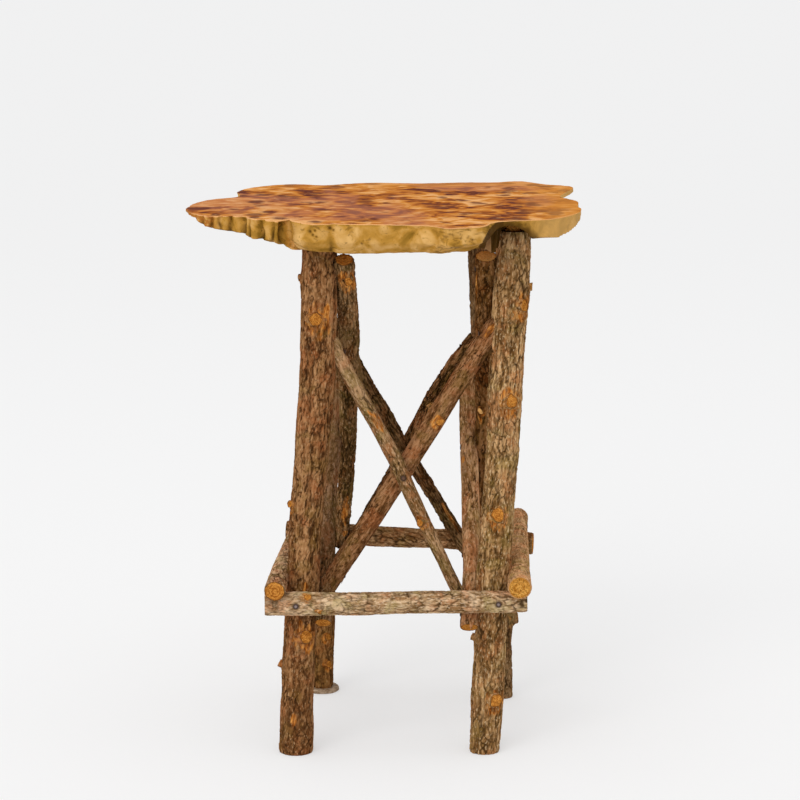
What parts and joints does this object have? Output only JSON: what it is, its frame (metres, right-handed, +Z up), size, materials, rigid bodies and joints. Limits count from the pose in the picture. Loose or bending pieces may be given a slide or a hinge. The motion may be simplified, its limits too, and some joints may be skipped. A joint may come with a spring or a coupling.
{
  "type": "rustic hickory side table",
  "caption": "Rustic side table: a live-edge burl slab on bark-covered hickory poles, tied by low stretchers and nailed crossed braces.",
  "frame": {"origin": "centre of the bounding box on the floor, under the slab", "axes": "+Z up to the table top, +X to the right as seen from the front, -Y to the front, where the thicker legs stand"},
  "size_m": [0.5525, 0.4283, 0.762],
  "materials": {
    "burl": "satin varnish over orange-brown burl, olive-tan live edge",
    "bark": "rough grey-brown hickory bark with orange sawn knots and ends",
    "nail_steel": "dull, dark and slightly rusted",
    "pad": "rough, worn and unfinished"
  },
  "bodies": {
    "root": {"burl_top": "burl", "front_brace_nails": "nail_steel", "front_left_leg": "bark", "front_right_leg": "bark", "front_stretcher": "bark", "front_stretcher_nails": "nail_steel", "front_thick_brace": "bark", "front_thin_brace": "bark", "left_brace_nails": "nail_steel", "left_stretcher": "bark", "left_stretcher_nails": "nail_steel", "left_thick_brace": "bark", "left_thin_brace": "bark", "rear_brace_nails": "nail_steel", "rear_left_foot_pad": "pad", "rear_left_leg": "bark", "rear_right_leg": "bark", "rear_stretcher": "bark", "rear_stretcher_nails": "nail_steel", "rear_thick_brace": "bark", "rear_thin_brace": "bark", "right_brace_nails": "nail_steel", "right_stretcher": "bark", "right_stretcher_nails": "nail_steel", "right_thick_brace": "bark", "right_thin_brace": "bark"}
  },
  "joints": []
}
